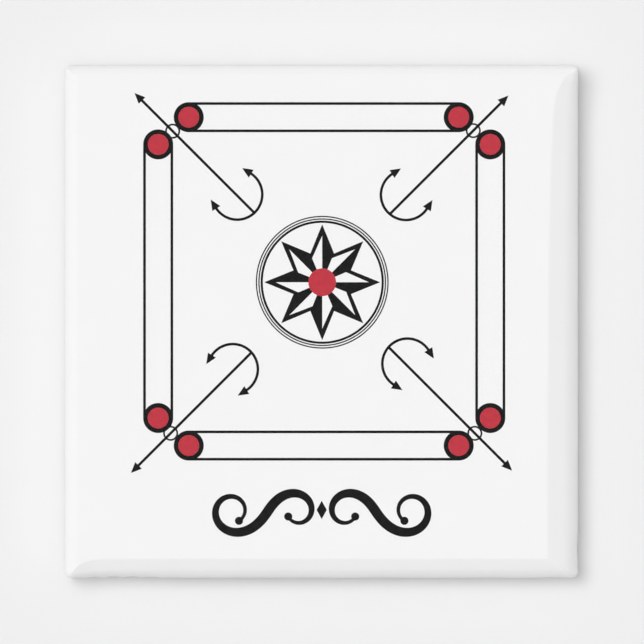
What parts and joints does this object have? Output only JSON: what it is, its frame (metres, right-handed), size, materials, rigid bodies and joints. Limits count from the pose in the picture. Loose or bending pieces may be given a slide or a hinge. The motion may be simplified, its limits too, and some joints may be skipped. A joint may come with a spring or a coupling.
{
  "type": "carrom board fridge magnet",
  "caption": "Square film-covered button magnet with a rounded shoulder, printed with the playing layout of a carrom board, with a tinplate back and a round ferrite disc.",
  "frame": {"origin": "centre of the magnet's resting face, under the middle of the square; the part lies on its back with the picture up", "axes": "+Z out of the picture, +Y to the picture's top edge, +X to the picture's right edge"},
  "size_m": [0.0508, 0.0508, 0.005],
  "materials": {
    "clear_film": "clear glossy polyester film, lightly rippled",
    "paper": "smooth white printing paper",
    "black_ink": "solid black print on paper",
    "red_ink": "solid carmine red print on paper",
    "tinplate": "rolled tinplate, fine grain, light scratches",
    "foam_tape": "closed-cell double-sided tape",
    "ferrite": "ground dark grey ferrite, matte, small chips on the edge"
  },
  "bodies": {
    "root": {"clear_film": "clear_film", "printed_paper": "paper", "front_shell": "tinplate", "back_plate": "tinplate", "mounting_tape": "foam_tape", "magnet_disc": "ferrite", "base_line_top": "black_ink", "base_disc_top_left": "red_ink", "base_disc_top_right": "red_ink", "base_line_left": "black_ink", "base_disc_left_lower": "red_ink", "base_disc_left_upper": "red_ink", "base_line_bottom": "black_ink", "base_disc_bottom_right": "red_ink", "base_disc_bottom_left": "red_ink", "base_line_right": "black_ink", "base_disc_right_upper": "red_ink", "base_disc_right_lower": "red_ink", "corner_mark_top_right": "black_ink", "corner_mark_top_left": "black_ink", "corner_mark_bottom_left": "black_ink", "corner_mark_bottom_right": "black_ink", "outer_centre_ring": "black_ink", "middle_centre_ring": "black_ink", "inner_centre_ring": "black_ink", "centre_star": "black_ink", "centre_disc": "red_ink", "ornament_left": "black_ink", "ornament_right": "black_ink", "ornament_diamond": "black_ink"}
  },
  "joints": []
}
